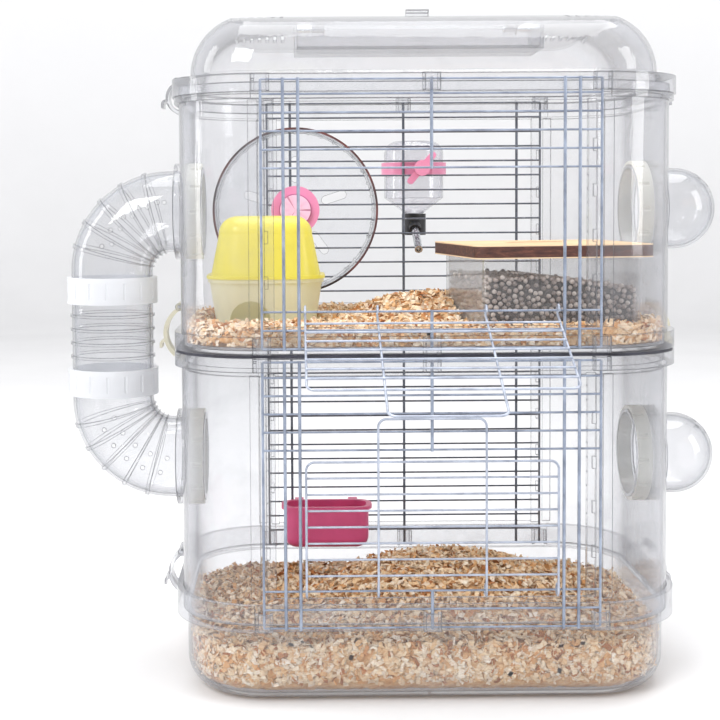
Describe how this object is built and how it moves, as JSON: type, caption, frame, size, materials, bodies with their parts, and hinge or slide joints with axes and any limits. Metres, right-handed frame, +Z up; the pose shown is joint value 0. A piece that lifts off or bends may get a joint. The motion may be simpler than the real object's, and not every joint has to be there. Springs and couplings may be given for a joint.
{
  "type": "hamster cage",
  "caption": "Two-storey clear hamster cage with wire fronts and backs, hinged doors, an outside tube, lookout domes, exercise wheel, hideout, bottle, dish and bath.",
  "frame": {"origin": "middle of the tray's flat underside", "axes": "+Z up, front with the doors towards -Y, the outside tube towards -X"},
  "size_m": [0.5206, 0.4277, 0.52],
  "materials": {
    "clear_plastic": "clear moulded polystyrene, polished",
    "white_plastic": "white moulded plastic, satin",
    "ivory_plastic": "ivory moulded plastic, satin",
    "cream_plastic": "frosted cream plastic",
    "pink_plastic": "pink moulded plastic",
    "yellow_plastic": "translucent yellow plastic",
    "black_plastic": "black moulded plastic",
    "coated_wire": "pale blue-grey powder coat over steel wire",
    "steel": "bright steel",
    "seal_rubber": "black rubber strip",
    "shavings": "loose wood shavings",
    "pellets": "loose small clay balls",
    "plywood": "plywood with darkened cut edges"
  },
  "bodies": {
    "cage": {"base_tray": "clear_plastic", "lower_body": "clear_plastic", "upper_body": "clear_plastic", "upper_floor": "clear_plastic", "top_lid": "clear_plastic", "tray_bedding": "shavings", "upper_bedding": "shavings", "tier_gasket": "seal_rubber", "handle_pins": "white_plastic", "upper_front_grille": "coated_wire", "lower_front_grille": "coated_wire", "upper_back_grille": "coated_wire", "lower_back_grille": "coated_wire", "front_clips": "clear_plastic", "back_clips": "clear_plastic", "latch_pins": "white_plastic", "port_collars": "clear_plastic", "upper_elbow": "clear_plastic", "lower_elbow": "clear_plastic", "straight_tube": "clear_plastic", "wheel_axle": "steel", "wheel_mount": "white_plastic", "hideout_base": "cream_plastic", "bottle_body": "clear_plastic", "bottle_cap": "black_plastic", "bottle_nozzle": "steel", "bottle_bracket": "pink_plastic", "bath_tub": "clear_plastic", "bath_pellets": "pellets"},
    "upper_door_frame": {"upper_door": "coated_wire"},
    "lower_door_frame": {"lower_door": "coated_wire"},
    "wheel": {"wheel_drum": "clear_plastic", "wheel_hub": "pink_plastic"},
    "handle": {"carry_handle": "clear_plastic", "handle_tab": "clear_plastic"},
    "upper_left_latch": {"latch_upper_left": "clear_plastic"},
    "upper_right_latch": {"latch_upper_right": "clear_plastic"},
    "middle_left_latch": {"latch_middle_left": "cream_plastic"},
    "middle_right_latch": {"latch_middle_right": "cream_plastic"},
    "lower_left_latch": {"latch_lower_left": "clear_plastic"},
    "lower_right_latch": {"latch_lower_right": "clear_plastic"},
    "upper_ring": {"upper_tube_ring": "white_plastic"},
    "lower_ring": {"lower_tube_ring": "white_plastic"},
    "upper_left_nut": {"port_nut_upper_left": "ivory_plastic"},
    "upper_right_nut": {"port_nut_upper_right": "ivory_plastic"},
    "lower_left_nut": {"port_nut_lower_left": "ivory_plastic"},
    "lower_right_nut": {"port_nut_lower_right": "ivory_plastic"},
    "upper_lookout": {"upper_dome": "clear_plastic"},
    "lower_lookout": {"lower_dome": "clear_plastic"},
    "roof": {"hideout_roof": "yellow_plastic"},
    "board": {"bath_board": "plywood"},
    "dish": {"food_dish": "pink_plastic"},
    "spout_ball": {"nozzle_ball": "steel"},
    "toggle": {"bottle_toggle": "pink_plastic"}
  },
  "joints": [
    {"name": "upper_door_swing", "type": "hinge", "parent": "cage", "child": "upper_door_frame", "pos_m": [0, -0.126, 0.2902], "axis": [1, 0, 0], "range_deg": [-116, 0]},
    {"name": "lower_door_swing", "type": "hinge", "parent": "cage", "child": "lower_door_frame", "pos_m": [0, -0.126, 0.087], "axis": [1, 0, 0], "range_deg": [0, 116]},
    {"name": "wheel_spin", "type": "hinge", "parent": "cage", "child": "wheel", "pos_m": [-0.097, 0.07, 0.362], "axis": [0, 1, 0], "continuous": true},
    {"name": "handle_lift", "type": "hinge", "parent": "cage", "child": "handle", "pos_m": [0, 0.016, 0.508], "axis": [-1, 0, 0], "range_deg": [0, 95]},
    {"name": "upper_left_latch_swing", "type": "hinge", "parent": "cage", "child": "upper_left_latch", "pos_m": [-0.1906, 0, 0.465], "axis": [0, 1, 0], "range_deg": [0, 100]},
    {"name": "upper_right_latch_swing", "type": "hinge", "parent": "cage", "child": "upper_right_latch", "pos_m": [0.1906, 0, 0.465], "axis": [0, -1, 0], "range_deg": [0, 100]},
    {"name": "middle_left_latch_swing", "type": "hinge", "parent": "cage", "child": "middle_left_latch", "pos_m": [-0.1906, 0, 0.286], "axis": [0, 1, 0], "range_deg": [0, 5.5]},
    {"name": "middle_right_latch_swing", "type": "hinge", "parent": "cage", "child": "middle_right_latch", "pos_m": [0.1906, 0, 0.286], "axis": [0, -1, 0], "range_deg": [0, 100]},
    {"name": "lower_left_latch_swing", "type": "hinge", "parent": "cage", "child": "lower_left_latch", "pos_m": [-0.1906, 0, 0.088], "axis": [0, 1, 0], "range_deg": [0, 100]},
    {"name": "lower_right_latch_swing", "type": "hinge", "parent": "cage", "child": "lower_right_latch", "pos_m": [0.1906, 0, 0.088], "axis": [0, -1, 0], "range_deg": [0, 100]},
    {"name": "upper_ring_turn", "type": "hinge", "parent": "cage", "child": "upper_ring", "pos_m": [-0.245, 0, 0.2996], "axis": [0, 0, 1], "range_deg": [0, 90]},
    {"name": "lower_ring_turn", "type": "hinge", "parent": "cage", "child": "lower_ring", "pos_m": [-0.245, 0, 0.2264], "axis": [0, 0, 1], "range_deg": [0, 90]},
    {"name": "upper_left_nut_turn", "type": "hinge", "parent": "cage", "child": "upper_left_nut", "pos_m": [-0.177, 0, 0.362], "axis": [1, 0, 0], "range_deg": [0, 90]},
    {"name": "upper_right_nut_turn", "type": "hinge", "parent": "cage", "child": "upper_right_nut", "pos_m": [0.177, 0, 0.362], "axis": [1, 0, 0], "range_deg": [0, 90]},
    {"name": "lower_left_nut_turn", "type": "hinge", "parent": "cage", "child": "lower_left_nut", "pos_m": [-0.177, 0, 0.164], "axis": [1, 0, 0], "range_deg": [0, 90]},
    {"name": "lower_right_nut_turn", "type": "hinge", "parent": "cage", "child": "lower_right_nut", "pos_m": [0.177, 0, 0.164], "axis": [1, 0, 0], "range_deg": [0, 90]},
    {"name": "upper_dome_pull", "type": "slide", "parent": "cage", "child": "upper_lookout", "axis": [1, 0, 0], "range_m": [0, 0.03]},
    {"name": "lower_dome_pull", "type": "slide", "parent": "cage", "child": "lower_lookout", "axis": [1, 0, 0], "range_m": [0, 0.03]},
    {"name": "roof_lift", "type": "slide", "parent": "cage", "child": "roof", "axis": [0, 0, 1], "range_m": [0, 0.04]},
    {"name": "board_lift", "type": "slide", "parent": "cage", "child": "board", "axis": [0, 0, 1], "range_m": [0, 0.04]},
    {"name": "dish_lift", "type": "slide", "parent": "cage", "child": "dish", "axis": [0, 0, 1], "range_m": [0, 0.008]},
    {"name": "ball_push", "type": "slide", "parent": "cage", "child": "spout_ball", "axis": [0, 0.9026, 0.4305], "range_m": [0, 0.0012]},
    {"name": "toggle_turn", "type": "hinge", "parent": "cage", "child": "toggle", "pos_m": [0.016, 0.12, 0.39857], "axis": [0, 1, 0], "range_deg": [-41, 49]}
  ]
}
